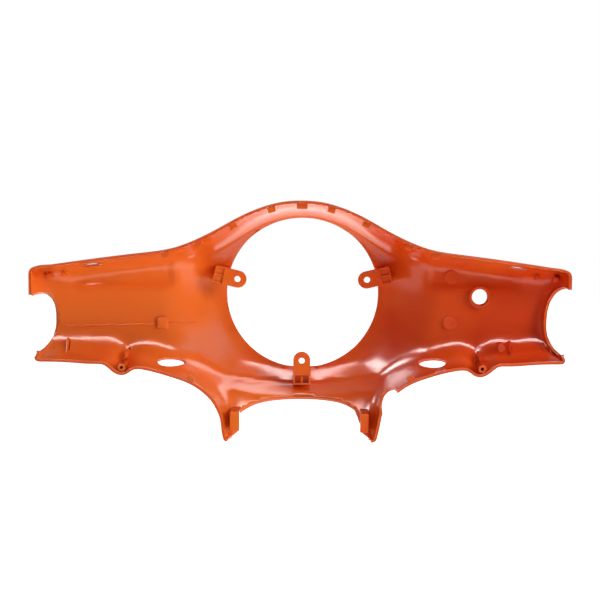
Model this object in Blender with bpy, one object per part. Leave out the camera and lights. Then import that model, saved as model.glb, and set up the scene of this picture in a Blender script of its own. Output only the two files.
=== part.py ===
"""Front handlebar cover of a motor scooter: a thin orange moulded shell around the headlamp.

Frame, in the shell's own axes: X runs along the handlebar to the rider's right, Z is up, and Y points
forward, the way the scooter rides. The origin is on the headlamp's axis, in the plane of the rear edge
where the shell meets the rear cover. Everything is moulded in one shot and pulled from the tool along Y,
so the shell is a depth over the XZ plane, and each feature inside is a column that stands on it along Y.
Lengths are in millimetres here, and MM turns them into Blender's metres.
"""

import math

import bpy
import numpy as np
from mathutils import Vector
from mathutils.bvhtree import BVHTree
from mathutils.geometry import delaunay_2d_cdt

MM = 0.001

# The shell's wall and its main sizes.
WALL = 2.5
GAP = 0.4
WING_REACH = {"left": 257.0, "right": 253.5}
LAMP_RADIUS = 75.6
LAMP_DEPTH = 88.0
LAMP_FLAT = 4.0
LAMP_SLOPE = 66.0
WING_ROOT = 112.0
# How the depth falls below the lamp: distance down, and share of the full depth.
CHIN_FALL = [(0, 1), (75, 1), (91.5, 0.95), (101.9, 0.65), (140, 0.42)]
CHIN_BOW = 0.0017
# The fall fades out to both sides: where it starts to, and over what angle, in degrees from straight down.
CHIN_SIDES = (30.0, 25.0)
ROOT_DEPTH = 56.0
TIP_DEPTH = 42.0
TIP_X = 255.0

# How far in from each edge the wall has turned into the front face, and how square that turn is.
TOP_TURN = 24.0
WING_BOTTOM_TURN = 34.0
LEG_TURN = 17.0
END_TURN = 14.0
TURN_POWER = 2.4
# Where along X each turn starts to change from one size to the other, and over what length.
TOP_TURN_CHANGE = (228.0, 24.0)
BOTTOM_TURN_CHANGE = (75.0, 80.0)

# The rear edge, right half, from the crown of the lamp hood to the wing tip and back to the leg's tip.
CROWN = [(0, 94.1), (20, 92.5), (40, 86.9), (60, 78), (80, 66.9), (100, 56.9), (123, 48.6), (150, 44.3),
         (200, 37.9), (238, 32.4)]
TOP_CORNER = [(6, 30.9), (2, 28.9), (0.2, 25.5), (0, 22)]
END_FOOT = 4.0
# The bulge round each screw boss, on the wing's lower edge.
EAR = {
    "left": [(187.5, -61.8), (182, -65.4), (176.5, -69.8), (169.5, -71.8), (163.5, -69.8),
             (159.5, -67), (155.5, -65.9)],
    "right": [(187, -61.1), (181.5, -64.6), (176, -68.9), (169.5, -71), (163, -69.2),
              (159, -66.2), (155.5, -64.9)],
}
BOTTOM_EDGE = {
    "left": [(252.5, -55), (251.4, -58), (246, -59.5), (220, -60), (194, -61.3), *EAR["left"],
             (149, -66.4), (123, -73.2), (104, -80.3), (92, -88.4), (84, -96.8), (79.5, -104.5),
             (76, -114.5), (75.2, -122), (73.4, -131.6)],
    "right": [(249, -53.5), (248.1, -56.8), (243, -58.1), (220, -58.9), (194, -60.5), *EAR["right"],
              (149, -65), (123, -71.4), (104, -78.7), (88, -90.5), (78.6, -104), (75.6, -117),
              (72.8, -130)],
}
LEG_TIP = {
    "left": [(73.4, -131.6), (72.2, -133.8), (69.8, -134.4)],
    "right": [(72.8, -130), (71.2, -133.2), (67.6, -134.5)],
}

# The arch over the steering column, from the left leg's foot to the right leg's foot.
LEFT_LEG_INSIDE = [(-69, -142), (-67.5, -134), (-61, -130), (-60.5, -116), (-57, -111.8)]
ARCH = [(-57, -111.8), (-47, -107), (-32, -103.6), (0, -101.9), (32, -103.6), (45, -106.8), (52, -110.4)]
RIGHT_LEG_INSIDE = [(52, -110.4), (55.3, -117), (57.6, -124), (58.8, -130), (66, -133.8), (67.4, -142)]

# The openings for the grips, at the wing tips: centre height, reach in from the tip, half heights.
GRIP_OPENING = {
    "left": {"z": -25.0, "inner_x": 238.8, "up": 28.0, "down": 31.0, "squareness": 0.67},
    "right": {"z": -26.0, "inner_x": 235.3, "up": 39.2, "down": 30.0, "squareness": 0.8},
}
GRIP_CENTRE_X = 262.0
ROLLED_LIP = {"drop": 0.27, "width": 9.0}

# The smaller openings.
SWITCH_HOLE = {"x": 172.4, "z": 0.5, "radius": 7.4}
LEVER_SLOTS = {"left": (-126.9, -66.0, -0.11), "right": (127.1, -64.8, 0.12)}
LEVER_SLOT_HALF = (12.6, 3.3)
MIRROR_SLITS = {"left": (-202.0, 32.4, 0.13), "right": (206.0, 31.9, -0.13)}
MIRROR_SLIT_HALF = (10.0, 1.7)
LEG_RELIEF = (98.6, -104.3, 20.9, 18.4)

# The raised pads along the upper half of each wing.
PAD_RISE = 4.5
PAD_SPANS = {"left": (124.0, 226.0), "right": (122.0, 214.0)}
PAD_LOW = 4.0
PAD_BELOW_EDGE = 9.0
PAD_FADES = {"inner": 7.0, "outer": 12.0, "low": 9.0, "high": 6.0}

# The three screw tabs of the headlamp, by their angle about its axis.
TAB_ANGLES = {"left": 166.6, "right": 13.5, "bottom": 270.0}
TAB_WIDTH = 16.6
TAB_TIP = 56.4
TAB_HOLE_AT = 65.2
TAB_HOLE_RADIUS = 3.1
TAB_ROOT = 76.5
TAB_DEPTH = 58.5
TAB_THICKNESS = 3.0
TAB_WALL = 1.6
TAB_GAP = 0.3
BRACKET_LENGTH = 12.5

# The catches along the rear edge: name, and (place along X, width).
TOP_CATCHES = {
    "top_middle": (0.5, 10.0),
    "top_left_1": (-29.4, 7.0),
    "top_left_2": (-66.8, 7.0),
    "top_left_3": (-98.5, 7.0),
    "top_left_4": (-129.0, 7.0),
    "top_right_1": (29.4, 7.0),
    "top_right_2": (63.3, 7.0),
    "top_right_3": (102.5, 7.0),
    "top_right_4": (127.0, 7.0),
}
LOWER_CATCH_X = 106.0
LOWER_CATCH_WIDTH = 7.0
LOWER_CATCH_REACH = 3.5
CATCH_REACH = 4.2
CATCH_GAP = 0.9
CATCH_REAR = 2.0
CATCH_LENGTH = 5.5

# Below the wings and on the legs.
SCREW_BOSSES = {"left": (-169.8, -64.6), "right": (171.5, -63.3)}
BOSS_RADIUS = 3.9
BOSS_HOLE_RADIUS = 1.5
BOSS_REAR = 1.4
LEG_BLOCKS = {"left": (-62.9, -116.2, 4.6, 9.4), "right": (60.8, -117.0, 4.0, 9.2)}
LEG_BLOCK_REAR = 6.0
LEG_BLOCK_GAP = 3.3

# Round posts and pads that stand on the shell: x, z, radius, height.
POSTS = {
    "locating_post_left_outer": (-243.0, 19.0, 2.6, 6.0),
    "locating_post_left_inner": (-230.0, 21.0, 2.2, 5.0),
    "locating_post_right_outer": (243.0, 19.5, 2.6, 6.0),
    "locating_post_right_inner": (225.5, 21.0, 2.2, 5.0),
    "screw_post_right_lower": (192.0, -46.5, 3.4, 9.0),
    "clip_pad_right_upper": (145.0, 19.0, 6.5, 0.9),
    "clip_pad_right_lower": (144.0, -25.5, 6.5, 0.9),
}
COLLAR_RADII = (10.6, 7.9)
COLLAR_HEIGHT = 2.2
REARMOST = 1.5

# Ribs and pads: x, z, half length, half width, tilt, height.
RIBS = {
    "cable_rib_left_outer": (-186.5, -29.5, 42.0, 0.8, 0.02, 1.1),
    "cable_rib_left_inner": (-117.0, -28.5, 12.0, 0.8, -0.05, 1.1),
    "cable_pad_left": (-136.5, -27.5, 4.6, 5.4, 0.0, 2.6),
    "ear_rib_left": (-169.8, -56.6, 0.9, 3.2, 0.0, 12.0),
    "ear_rib_right": (171.5, -55.8, 0.9, 3.2, 0.0, 12.0),
    "stop_rib_left": (-226.0, -47.5, 0.9, 5.5, 0.12, 5.0),
    "stop_rib_right": (201.0, -47.5, 0.9, 5.5, 0.0, 5.0),
}

# Where the shell is parted into regions, and half the width of the gap between them.
SEAM_X = 98.0
SEAM_Z = -20.0
SEAM_HALF = 0.6

# Mesh fineness of the CAD shell.
EDGE_STEP = 7.0
FACE_STEP = 11.0
CUT_STEP = 5.0
TURN_SHARES = (0.35, 0.6, 0.8, 0.93)
ROW_CLEAR = 1.2
GRID_CLEAR = FACE_STEP / 2
RIM_BAND = 0.25


def clear_scene():
    for obj in list(bpy.data.objects):
        bpy.data.objects.remove(obj, do_unlink=True)


def plastic(name, colour, roughness):
    material = bpy.data.materials.new(name)
    material.use_nodes = True
    shader = material.node_tree.nodes["Principled BSDF"]
    shader.inputs["Base Color"].default_value = (*colour, 1.0)
    shader.inputs["Roughness"].default_value = roughness
    shader.inputs["Metallic"].default_value = 0.0
    material.diffuse_color = (*colour, 1.0)
    return material


# ---- curves in the XZ plane -------------------------------------------------------------------------


def smooth_curve(points, step):
    """Points about `step` apart along a natural cubic spline through the given points."""
    given = np.array(points, float)
    run = np.concatenate([[0], np.cumsum(np.linalg.norm(np.diff(given, axis=0), axis=1))])
    gaps = np.diff(run)
    count = len(given)
    system = np.eye(count)
    pull = np.zeros((count, 2))
    for i in range(1, count - 1):
        system[i, i - 1 : i + 2] = gaps[i - 1], 2 * (gaps[i - 1] + gaps[i]), gaps[i]
        slopes = np.diff(given[i - 1 : i + 2], axis=0) / gaps[i - 1 : i + 1, None]
        pull[i] = 6 * (slopes[1] - slopes[0])
    bend = np.linalg.solve(system, pull)
    along = np.linspace(0, run[-1], max(3, round(run[-1] / step) + 1))
    i = np.clip(np.searchsorted(run, along, side="right") - 1, 0, count - 2)
    gap = gaps[i][:, None]
    after = (along - run[i])[:, None]
    before = gap - after
    ends = bend[i] * before**3 + bend[i + 1] * after**3
    lines = (given[i] / gap - gap * bend[i] / 6) * before
    lines += (given[i + 1] / gap - gap * bend[i + 1] / 6) * after
    return ends / (6 * gap) + lines


def joined(*curves):
    """One run of points from curves that start where the one before ends."""
    points = [curves[0]]
    for curve in curves[1:]:
        points.append(np.asarray(curve, float)[1:])
    return np.concatenate(points)


def mirrored(curve):
    """The left-hand twin, running the other way."""
    return (np.asarray(curve, float) * (-1, 1))[::-1]


def oval(x, z, half_x, half_z, tilt=0.0, step=CUT_STEP):
    count = max(16, round(math.pi * (half_x + half_z) / step))
    turn = np.arange(count) * 2 * math.pi / count
    across, up = half_x * np.cos(turn), half_z * np.sin(turn)
    cos, sin = math.cos(tilt), math.sin(tilt)
    return np.stack([x + across * cos - up * sin, z + across * sin + up * cos], 1)


def grip_curve(side, step):
    """The grip opening's edge, top to bottom: squarer above than below."""
    size = GRIP_OPENING[side]
    sign = 1 if side == "right" else -1
    reach = GRIP_CENTRE_X - size["inner_x"]
    points = []
    count = round(math.pi * size["down"] / step)
    for i in range(count + 1):
        turn = math.pi * (0.5 - i / count)
        power, half = (size["squareness"], size["up"]) if turn > 0 else (1, size["down"])
        x = GRIP_CENTRE_X - reach * max(math.cos(turn), 0) ** power
        z = size["z"] + half * math.copysign(abs(math.sin(turn)) ** power, turn)
        points.append((sign * x, z))
    return np.array(points)


def grip_cutter(side, step):
    far = WING_REACH[side] + 30
    sign = 1 if side == "right" else -1
    curve = grip_curve(side, step)
    return np.concatenate([curve, [(sign * far, curve[-1][1]), (sign * far, curve[0][1])]])


def inside(points, loop):
    """Which points lie within the closed loop, by counting the edges that a line through each crosses."""
    x, z = points[:, 0][:, None], points[:, 1][:, None]
    a, b = loop, np.roll(loop, -1, axis=0)
    spans = (a[:, 1] > z) != (b[:, 1] > z)
    rise = np.where(b[:, 1] == a[:, 1], 1e-12, b[:, 1] - a[:, 1])
    crossing = a[:, 0] + (z - a[:, 1]) * (b[:, 0] - a[:, 0]) / rise
    return (spans & (x < crossing)).sum(axis=1) % 2 == 1


def distance(points, line):
    """Each point's distance from the polyline, and the nearest segment's direction."""
    a, b = line[:-1], line[1:]
    run = b - a
    offset = points[:, None] - a
    share = np.clip((offset * run).sum(2) / (run**2).sum(1), 0, 1)
    gaps = np.linalg.norm(offset - share[..., None] * run, axis=2)
    nearest = gaps.argmin(axis=1)
    return gaps[np.arange(len(points)), nearest], run[nearest]


# ---- the shell's surface ----------------------------------------------------------------------------


def edges(step):
    """The edges that touch the rear cover: the whole top, and the right and left halves of the bottom."""
    crown = smooth_curve(joined(mirrored(CROWN), CROWN), step)
    ends, bottoms = {}, {}
    for side, reach in WING_REACH.items():
        corner = [CROWN[-1], *[(reach - inward, z) for inward, z in TOP_CORNER]]
        foot = [corner[-1], (reach, END_FOOT)]
        ends[side] = joined(smooth_curve(corner, step / 3), smooth_curve(foot, step))
        edge = BOTTOM_EDGE[side]
        bottoms[side] = joined(smooth_curve(edge[:3], step / 3), smooth_curve(edge[2:], step),
                               smooth_curve(LEG_TIP[side], step / 4))
    top = joined(mirrored(ends["left"]), crown, ends["right"])
    return top, bottoms["right"], mirrored(bottoms["left"])


def smooth_step(value):
    value = np.clip(value, 0, 1)
    return value * value * (3 - 2 * value)


def turned(share):
    """The depth that the wall has reached at this share of its turn, 0 at the edge and 1 on the face."""
    return (1 - (1 - np.clip(share, 0, 1)) ** TURN_POWER) ** (1 / TURN_POWER)


RIMS = edges(2.0)
RIGHT_GRIP = grip_curve("right", 2.0)


def top_turn(points):
    start, length = TOP_TURN_CHANGE
    return TOP_TURN + (END_TURN - TOP_TURN) * smooth_step((abs(points[:, 0]) - start) / length)


def bottom_turn(points):
    start, length = BOTTOM_TURN_CHANGE
    return LEG_TURN + (WING_BOTTOM_TURN - LEG_TURN) * smooth_step((abs(points[:, 0]) - start) / length)


def depth(points):
    """How far forward the shell's outer face stands over each point of the XZ plane."""
    x, z = abs(points[:, 0]), points[:, 1]
    wing = ROOT_DEPTH + (TIP_DEPTH - ROOT_DEPTH) * (x - WING_ROOT) / (TIP_X - WING_ROOT)
    lamp = 1 - smooth_step((np.hypot(x, z) - LAMP_RADIUS + LAMP_FLAT) / LAMP_SLOPE)
    face = wing + (LAMP_DEPTH - wing) * lamp
    down, share = np.array(CHIN_FALL).T
    aside = np.degrees(np.arctan2(x, -z))
    held = 1 - smooth_step((aside - CHIN_SIDES[0]) / CHIN_SIDES[1])
    face *= 1 + held * (np.interp(CHIN_BOW * x**2 - z, down, share) - 1)
    from_top, from_right, from_left = (distance(points, rim)[0] for rim in RIMS)
    from_bottom = np.minimum(from_right, from_left)
    face *= turned(from_top / top_turn(points)) * turned(from_bottom / bottom_turn(points))
    opening = distance(points, RIGHT_GRIP)[0]
    face *= 1 - ROLLED_LIP["drop"] * (1 - turned(opening / ROLLED_LIP["width"]))
    near, far = np.where(points[:, :1] < 0, PAD_SPANS["left"], PAD_SPANS["right"]).T
    pad = smooth_step((x - near) / PAD_FADES["inner"]) * smooth_step((far - x) / PAD_FADES["outer"])
    pad *= smooth_step((z - PAD_LOW) / PAD_FADES["low"])
    pad *= smooth_step((from_top - PAD_BELOW_EDGE) / PAD_FADES["high"])
    return face + PAD_RISE * pad


def cutters(step):
    """Every opening through the shell, each a closed loop in the XZ plane."""
    arch = joined(LEFT_LEG_INSIDE, smooth_curve(ARCH, step), RIGHT_LEG_INSIDE)
    loops = {
        "lamp": oval(0, 0, LAMP_RADIUS, LAMP_RADIUS, step=step),
        "arch": arch,
        "switch": oval(SWITCH_HOLE["x"], SWITCH_HOLE["z"], SWITCH_HOLE["radius"], SWITCH_HOLE["radius"]),
        "relief": oval(*LEG_RELIEF),
    }
    for side in ("left", "right"):
        loops["grip_" + side] = grip_cutter(side, step)
        loops["lever_" + side] = oval(*LEVER_SLOTS[side][:2], *LEVER_SLOT_HALF, LEVER_SLOTS[side][2])
        loops["mirror_" + side] = oval(*MIRROR_SLITS[side][:2], *MIRROR_SLIT_HALF, MIRROR_SLITS[side][2])
    return loops


def rim_rows(step):
    """Rows of points beside both edges, where the wall turns, each row at its own share of the depth."""
    rows = []
    for i, line in enumerate(edges(step)):
        run = np.gradient(line, axis=0)
        inward = np.stack([run[:, 1], -run[:, 0]], 1) / np.linalg.norm(run, axis=1)[:, None]
        turn = bottom_turn(line) if i else top_turn(line)
        for share in TURN_SHARES:
            reach = 1 - (1 - share**TURN_POWER) ** (1 / TURN_POWER)
            rows.append(line + inward * (reach * turn)[:, None])
    return rows


def triangulated(loops, loose, keep):
    """A Delaunay mesh of the XZ plane that follows every loop, less the triangles that `keep` drops."""
    points, borders = [], []
    for loop in loops:
        first = len(points)
        points += [Vector(p) for p in loop]
        borders += [(first + i, first + (i + 1) % len(loop)) for i in range(len(loop))]
    points += [Vector(p) for p in loose]
    made, _, faces, *_ = delaunay_2d_cdt(points, borders, [], 0, 1e-4)
    flat = np.array([(p.x, p.y) for p in made])
    faces = np.array([face for face in faces if len(face) == 3])
    return flat, faces[keep(flat[faces].mean(axis=1))]


def solid(name, near, far, faces, material):
    """A closed body between two skins that share their triangles, walled along their open edges."""
    faces = np.asarray(faces)
    a, b, c = (near[faces[:, i]] for i in range(3))
    if np.cross(b - a, c - a)[:, 1].sum() > 0:
        faces = faces[:, ::-1]
    used, faces = np.unique(faces, return_inverse=True)
    faces = faces.reshape(-1, 3)
    near, far = near[used], far[used]
    count = len(used)
    sides = {}
    for face in faces:
        for i in range(3):
            sides[(face[i], face[(i + 1) % 3])] = True
    walls = [(b, a, a + count, b + count) for a, b in sides if (b, a) not in sides]
    both = [tuple(f) for f in faces] + [tuple(f[::-1] + count) for f in faces] + walls
    mesh = bpy.data.meshes.new(name)
    mesh.from_pydata((np.concatenate([near, far]) * MM).tolist(), [], both)
    mesh.shade_smooth()
    mesh.set_sharp_from_angle(angle=math.radians(40))
    mesh.materials.append(material)
    obj = bpy.data.objects.new(name, mesh)
    bpy.context.scene.collection.objects.link(obj)
    return obj


def raised(flat, y):
    return np.stack([flat[:, 0], np.broadcast_to(y, len(flat)), flat[:, 1]], 1)


def build_shell(material):
    """The wall, in four regions that are parted by narrow gaps at the lamp's shoulders."""
    loops = cutters(EDGE_STEP)
    border = np.concatenate(edges(EDGE_STEP))
    everything = [border, *loops.values()]
    rows = rim_rows(EDGE_STEP)
    low, high = border.min(axis=0), border.max(axis=0)
    x, z = np.meshgrid(
        np.arange(low[0], high[0], FACE_STEP), np.arange(low[1], high[1], FACE_STEP), indexing="ij"
    )
    grid = np.stack([x.ravel(), z.ravel()], 1)
    loose = []
    for group, clear in [(row, ROW_CLEAR) for row in rows] + [(grid, GRID_CLEAR)]:
        held = inside(group, border)
        for loop in loops.values():
            held &= ~inside(group, loop)
            held &= distance(group, np.concatenate([loop, loop[:1]]))[0] > clear
        if group is grid:
            for row in rows:
                held &= distance(group, row)[0] > clear
            held &= distance(group, np.concatenate([border, border[:1]]))[0] > clear
        loose.append(group[held])
    seams = seam_loops()
    everything += seams

    def keep(middle):
        kept = inside(middle, border)
        for loop in [*loops.values(), *seams]:
            kept &= ~inside(middle, loop)
        return kept

    flat, faces = triangulated(everything, np.concatenate(loose), keep)
    outer = raised(flat, depth(flat))
    reaches, runs = zip(*[distance(flat, rim) for rim in RIMS])
    nearest = np.argmin(reaches, axis=0)
    edge_like = np.min(reaches, axis=0) < RIM_BAND
    outer[edge_like, 1] = 0.0
    normals = skin_normals(outer, faces)
    for i in np.flatnonzero(edge_like):
        run = runs[nearest[i]][i]
        normals[i] = Vector((-run[1], 0, run[0])).normalized()
    inner = outer - WALL * normals
    inner[edge_like, 1] = 0.0
    middle = outer[faces].mean(axis=1)
    shells = {}
    regions = {
        "shell_wing_left": middle[:, 0] < -SEAM_X,
        "shell_wing_right": middle[:, 0] > SEAM_X,
        "shell_lamp_hood": (abs(middle[:, 0]) < SEAM_X) & (middle[:, 2] > SEAM_Z),
        "shell_chin": (abs(middle[:, 0]) < SEAM_X) & (middle[:, 2] < SEAM_Z),
    }
    for name, held in regions.items():
        shells[name] = solid(name, inner, outer, faces[held], material)
    return shells


def seam_strip(start, end, step=4.0):
    """A thin closed strip from start to end, along which the shell is parted."""
    start, end = np.array(start, float), np.array(end, float)
    run = (end - start) / np.linalg.norm(end - start)
    side = SEAM_HALF * np.array([-run[1], run[0]])
    count = round(np.linalg.norm(end - start) / step) + 1
    line = start + (end - start) * np.linspace(0, 1, count)[:, None]
    return np.concatenate([line + side, (line - side)[::-1]])


def seam_loops():
    """The strips that part the wings from the middle, and the lamp hood from the chin."""
    loops = [seam_strip((x, -150), (x, 110), 2.5) for x in (-SEAM_X, SEAM_X)]
    loops += [seam_strip((side * 60, SEAM_Z), (side * SEAM_X, SEAM_Z)) for side in (-1, 1)]
    return loops


def skin_normals(points, faces):
    a, b, c = (points[faces[:, i]] for i in range(3))
    cross = np.cross(b - a, c - a)
    cross[cross[:, 1] < 0] *= -1
    normals = np.zeros_like(points)
    for i in range(3):
        np.add.at(normals, faces[:, i], cross)
    return normals / np.maximum(np.linalg.norm(normals, axis=1), 1e-9)[:, None]


# ---- features that stand on the shell ---------------------------------------------------------------


def shell_tree(shells):
    """What a straight line forward from inside the cover would meet first."""
    points, faces = [], []
    for obj in shells.values():
        first = len(points)
        points += [vertex.co / MM for vertex in obj.data.vertices]
        faces += [[first + i for i in face.vertices] for face in obj.data.polygons]
    return BVHTree.FromPolygons(points, faces)


def floor_at(tree, points, start=-5.0):
    """The depth of the shell's inner face over each point, or of its nearest neighbour over a hole."""
    found = []
    for x, z in points:
        hit = tree.ray_cast(Vector((x, start, z)), Vector((0, 1, 0)))[0]
        found.append(math.nan if hit is None else hit.y)
    found = np.array(found)
    missing = np.isnan(found)
    for i in np.flatnonzero(missing):
        near = np.linalg.norm(points - points[i], axis=1) + np.where(missing, 1e6, 0)
        found[i] = found[near.argmin()]
    return found


def column(name, loops, near, far, material):
    """A body along Y over the first loop less the others, between two depths or depth functions."""
    loops = [np.asarray(loop, float) for loop in loops]

    def keep(middle):
        kept = inside(middle, loops[0])
        for loop in loops[1:]:
            kept &= ~inside(middle, loop)
        return kept

    flat, faces = triangulated(loops, [], keep)
    ends = [end(flat) if callable(end) else end for end in (near, far)]
    return solid(name, raised(flat, ends[0]), raised(flat, ends[1]), faces, material)


def split_edges(loop, step):
    """The loop with its long sides cut into pieces no longer than `step`."""
    loop = np.asarray(loop, float)
    points = []
    for a, b in zip(loop, np.roll(loop, -1, axis=0)):
        count = max(1, math.ceil(np.linalg.norm(b - a) / step))
        points += [a + (b - a) * i / count for i in range(count)]
    return np.array(points)


def box(x, z, half_x, half_z, tilt=0.0, step=4.0):
    corners = [(-half_x, -half_z), (half_x, -half_z), (half_x, half_z), (-half_x, half_z)]
    cos, sin = math.cos(tilt), math.sin(tilt)
    return split_edges([(x + a * cos - b * sin, z + a * sin + b * cos) for a, b in corners], step)


def arc(x, z, radius, start, end, count):
    turns = np.radians(np.linspace(start, end, count))
    return np.stack([x + radius * np.cos(turns), z + radius * np.sin(turns)], 1)


def radial(points, angle):
    """Points given as (outward, sideways) from the lamp's axis, turned to the tab's own angle."""
    cos, sin = math.cos(math.radians(angle)), math.sin(math.radians(angle))
    points = np.asarray(points, float)
    return np.stack([points[:, 0] * cos - points[:, 1] * sin, points[:, 0] * sin + points[:, 1] * cos], 1)


def build_lamp_tab(side, angle, tree, material):
    """A screw tab for the headlamp, and the cored bracket that carries it on the shell."""
    half = TAB_WIDTH / 2
    tip = arc(TAB_TIP + half, 0, half, 90, 270, 13)
    plate = np.concatenate([tip, [(TAB_ROOT, -half), (TAB_ROOT, half)]])
    hole = oval(TAB_HOLE_AT, 0, TAB_HOLE_RADIUS, TAB_HOLE_RADIUS, step=2.0)
    loops = [radial(plate, angle), radial(hole, angle)]
    rear, front = TAB_DEPTH, TAB_DEPTH + TAB_THICKNESS
    column("lamp_tab_" + side, loops, rear, front, material)
    start, end = TAB_ROOT + TAB_GAP, TAB_ROOT + BRACKET_LENGTH
    ribs = half - TAB_WALL
    loops = [split_edges([(start, -half), (end, -half), (end, half), (start, half)], 3.0)]
    for low, high in ((-ribs, -TAB_WALL / 2), (TAB_WALL / 2, ribs)):
        near, far = start + TAB_WALL, end - TAB_WALL
        pocket = [(near, low), (far, low), (far, high), (near, high)]
        loops.append(split_edges(pocket, 3.0))
    loops = [radial(loop, angle) for loop in loops]
    column("lamp_bracket_" + side, loops, rear, lambda at: floor_at(tree, at) - GAP, material)


def build_catch(name, edge, x, width, reach, material):
    """A small block just inside the shell's rear edge, which the rear cover snaps behind."""
    at = np.array([np.interp(x, edge[:, 0], edge[:, i]) for i in (0, 1)])
    ahead = np.array([np.interp(x + 1, edge[:, 0], edge[:, i]) for i in (0, 1)]) - at
    tilt = math.atan2(ahead[1], ahead[0])
    inward = np.array([math.sin(tilt), -math.cos(tilt)]) * (-1 if at[1] < 0 else 1)
    middle = at + inward * (WALL + CATCH_GAP + reach / 2)
    loop = box(*middle, width / 2, reach / 2, tilt)
    column(name, [loop], CATCH_REAR, CATCH_REAR + CATCH_LENGTH, material)


def build_screw_boss(side, tree, material):
    """The round boss in the bulge below a wing, bored for the screw that holds the rear cover."""
    x, z = SCREW_BOSSES[side]
    loops = [oval(x, z, radius, radius, step=1.8) for radius in (BOSS_RADIUS, BOSS_HOLE_RADIUS)]
    column("screw_boss_" + side, loops, BOSS_REAR, lambda at: floor_at(tree, at) - GAP, material)


def build_leg_block(side, tree, material):
    """The block at a leg's tip, which stands clear of the leg's curved wall."""

    def front(at):
        return floor_at(tree, at) - LEG_BLOCK_GAP

    column("leg_block_" + side, [box(*LEG_BLOCKS[side])], LEG_BLOCK_REAR, front, material)


def build_standing(name, loops, height, tree, material, follows=False):
    """A feature of one height. Its foot is flat, or follows the shell's inner face."""
    def foot(at):
        floor = floor_at(tree, at)
        return (floor if follows else floor.min()) - GAP

    def top(at):
        return np.maximum(foot(at) - height, REARMOST)

    column(name, loops, top, foot, material)


def build_features(shells, material):
    tree = shell_tree(shells)
    for side, angle in TAB_ANGLES.items():
        build_lamp_tab(side, angle, tree, material)
    top, bottom_right, bottom_left = RIMS
    for name, (x, width) in TOP_CATCHES.items():
        build_catch("catch_" + name, top, x, width, CATCH_REACH, material)
    for side, x, edge in (("left", -LOWER_CATCH_X, bottom_left), ("right", LOWER_CATCH_X, bottom_right)):
        build_catch("catch_lower_" + side, edge[::-1], x, LOWER_CATCH_WIDTH, LOWER_CATCH_REACH, material)
        build_screw_boss(side, tree, material)
        build_leg_block(side, tree, material)
    for name, (x, z, radius, height) in POSTS.items():
        build_standing(name, [oval(x, z, radius, radius, step=2.5)], height, tree, material)
    collar = [oval(SWITCH_HOLE["x"], SWITCH_HOLE["z"], r, r, step=3.5) for r in COLLAR_RADII]
    build_standing("switch_collar_right", collar, COLLAR_HEIGHT, tree, material)
    for name, (x, z, half_x, half_z, tilt, height) in RIBS.items():
        build_standing(name, [box(x, z, half_x, half_z, tilt, 6.0)], height, tree, material, follows=True)


clear_scene()
ORANGE = plastic("orange_gloss_plastic", (0.62, 0.13, 0.02), 0.3)
SHELLS = build_shell(ORANGE)
build_features(SHELLS, ORANGE)
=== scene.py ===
"""The finished look of the scooter handlebar's front cover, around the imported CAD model.

The CAD model holds the cover as regions and features with small gaps between them. Here the shell is one
continuous moulding again, made finely from the same curves, and each feature is rebuilt with softened
edges and its foot sunk into the wall. Shapes are worked out in millimetres, in the CAD model's own frame:
X to the rider's right, Y forward, Z up, the lamp's axis at the origin.
"""

import math

import bpy
import numpy as np
from mathutils import Matrix, Vector
from mathutils.bvhtree import BVHTree
from mathutils.geometry import delaunay_2d_cdt


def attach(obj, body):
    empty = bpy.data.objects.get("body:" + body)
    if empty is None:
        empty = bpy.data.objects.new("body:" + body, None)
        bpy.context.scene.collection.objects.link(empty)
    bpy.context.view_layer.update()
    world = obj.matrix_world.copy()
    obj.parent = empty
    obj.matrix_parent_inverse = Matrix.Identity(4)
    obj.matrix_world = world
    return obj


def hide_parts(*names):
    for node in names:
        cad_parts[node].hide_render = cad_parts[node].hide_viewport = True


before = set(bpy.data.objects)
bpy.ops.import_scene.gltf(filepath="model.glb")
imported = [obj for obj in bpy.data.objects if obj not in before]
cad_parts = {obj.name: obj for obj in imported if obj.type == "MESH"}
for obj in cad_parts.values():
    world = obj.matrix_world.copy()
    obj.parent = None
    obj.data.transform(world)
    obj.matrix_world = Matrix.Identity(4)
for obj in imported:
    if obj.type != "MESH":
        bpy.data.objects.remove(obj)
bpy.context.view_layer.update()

MM = 0.001
BODY = "root"

# The shell's wall and its main sizes, as in the CAD model.
WALL = 2.5
WING_REACH = {"left": 257.0, "right": 253.5}
LAMP_RADIUS = 75.6
LAMP_DEPTH = 88.0
LAMP_FLAT = 4.0
LAMP_SLOPE = 66.0
WING_ROOT = 112.0
CHIN_FALL = [(0, 1), (75, 1), (91.5, 0.95), (101.9, 0.65), (140, 0.42)]
CHIN_BOW = 0.0017
# The fall fades out to both sides: where it starts to, and over what angle, in degrees from straight down.
CHIN_SIDES = (30.0, 25.0)
ROOT_DEPTH = 56.0
TIP_DEPTH = 42.0
TIP_X = 255.0
TOP_TURN = 24.0
WING_BOTTOM_TURN = 34.0
LEG_TURN = 17.0
END_TURN = 14.0
TURN_POWER = 2.4
# Where along X each turn starts to change from one size to the other, and over what length.
TOP_TURN_CHANGE = (228.0, 24.0)
BOTTOM_TURN_CHANGE = (75.0, 80.0)

CROWN = [(0, 94.1), (20, 92.5), (40, 86.9), (60, 78), (80, 66.9), (100, 56.9), (123, 48.6), (150, 44.3),
         (200, 37.9), (238, 32.4)]
TOP_CORNER = [(6, 30.9), (2, 28.9), (0.2, 25.5), (0, 22)]
END_FOOT = 4.0
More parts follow.
